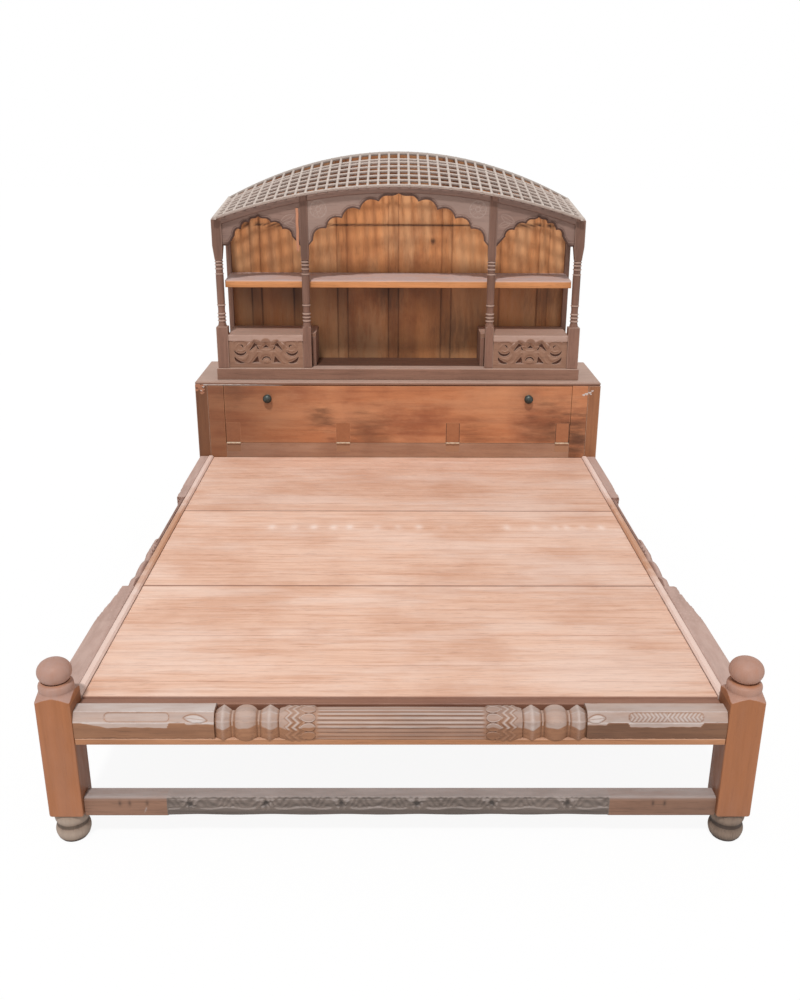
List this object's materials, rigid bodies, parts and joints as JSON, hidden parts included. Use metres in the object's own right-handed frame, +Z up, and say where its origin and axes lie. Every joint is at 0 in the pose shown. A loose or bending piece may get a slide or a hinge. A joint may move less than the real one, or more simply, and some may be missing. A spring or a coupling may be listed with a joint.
{
  "type": "carved teak bed with storage headboard",
  "caption": "Low carved teak bed with turned front posts, a loose board deck, and a headboard cabinet with a drop flap under a small balcony-window shelf.",
  "frame": {"origin": "middle of the footprint, on the floor", "axes": "+Z up, +Y from the foot end towards the headboard, +X to the right seen from the foot end"},
  "size_m": [1.806, 2.513, 1.658],
  "materials": {
    "orange_teak": "oiled teak, orange-brown",
    "worn_teak": "old weathered teak with worn grey-pink paint",
    "deck_teak": "pale sanded boards",
    "red_teak": "oiled teak, red-brown",
    "dark_teak": "old dusty teak, grey-brown",
    "niche_teak": "plain brown boards",
    "grey_teak": "weathered grey lattice",
    "iron": "dark domed iron",
    "brass": "dull metal with bright worn knuckles"
  },
  "bodies": {
    "bed": {"left_post": "orange_teak", "right_post": "orange_teak", "left_foot": "worn_teak", "right_foot": "worn_teak", "front_column": "worn_teak", "front_beam": "orange_teak", "front_ledge": "orange_teak", "front_stretcher": "worn_teak", "left_beam": "red_teak", "right_beam": "red_teak", "left_column": "worn_teak", "right_column": "worn_teak", "left_bearer": "niche_teak", "right_bearer": "niche_teak", "front_cross_bearer": "niche_teak", "rear_cross_bearer": "niche_teak", "rear_deck": "deck_teak", "cabinet_left_side": "red_teak", "cabinet_right_side": "red_teak", "cabinet_left_stile": "red_teak", "cabinet_right_stile": "red_teak", "cabinet_bottom_rail": "red_teak", "cabinet_top": "red_teak", "cabinet_floor": "niche_teak", "cabinet_back": "niche_teak", "hinge_1_frame_leaf": "brass", "hinge_2_frame_leaf": "brass", "hinge_3_frame_leaf": "brass", "hinge_4_frame_leaf": "brass", "jharokha_base_rail": "dark_teak", "niche_floor": "dark_teak", "left_outer_column": "dark_teak", "right_outer_column": "dark_teak", "left_inner_column": "dark_teak", "right_inner_column": "dark_teak", "left_box_front": "dark_teak", "right_box_front": "dark_teak", "left_box_top": "dark_teak", "right_box_top": "dark_teak", "left_box_side": "dark_teak", "right_box_side": "dark_teak", "shelf": "orange_teak", "left_arch": "dark_teak", "centre_arch": "dark_teak", "right_arch": "dark_teak", "left_side_frame": "dark_teak", "right_side_frame": "dark_teak", "back_panel": "niche_teak", "roof_lattice": "grey_teak"},
    "flap": {"cabinet_flap": "red_teak", "left_knob": "iron", "right_knob": "iron", "hinge_1_flap_leaf": "brass", "hinge_2_flap_leaf": "brass", "hinge_3_flap_leaf": "brass", "hinge_4_flap_leaf": "brass"},
    "front_panel": {"front_deck": "deck_teak"},
    "middle_panel": {"middle_deck": "deck_teak"}
  },
  "joints": [
    {"name": "flap_drop", "type": "hinge", "parent": "bed", "child": "flap", "pos_m": [0, 0.8445, 0.449], "axis": [1, 0, 0], "range_deg": [0, 100]},
    {"name": "front_panel_lift", "type": "slide", "parent": "bed", "child": "front_panel", "axis": [0, 0, 1], "range_m": [0, 0.25]},
    {"name": "middle_panel_lift", "type": "slide", "parent": "bed", "child": "middle_panel", "axis": [0, 0, 1], "range_m": [0, 0.25]}
  ]
}
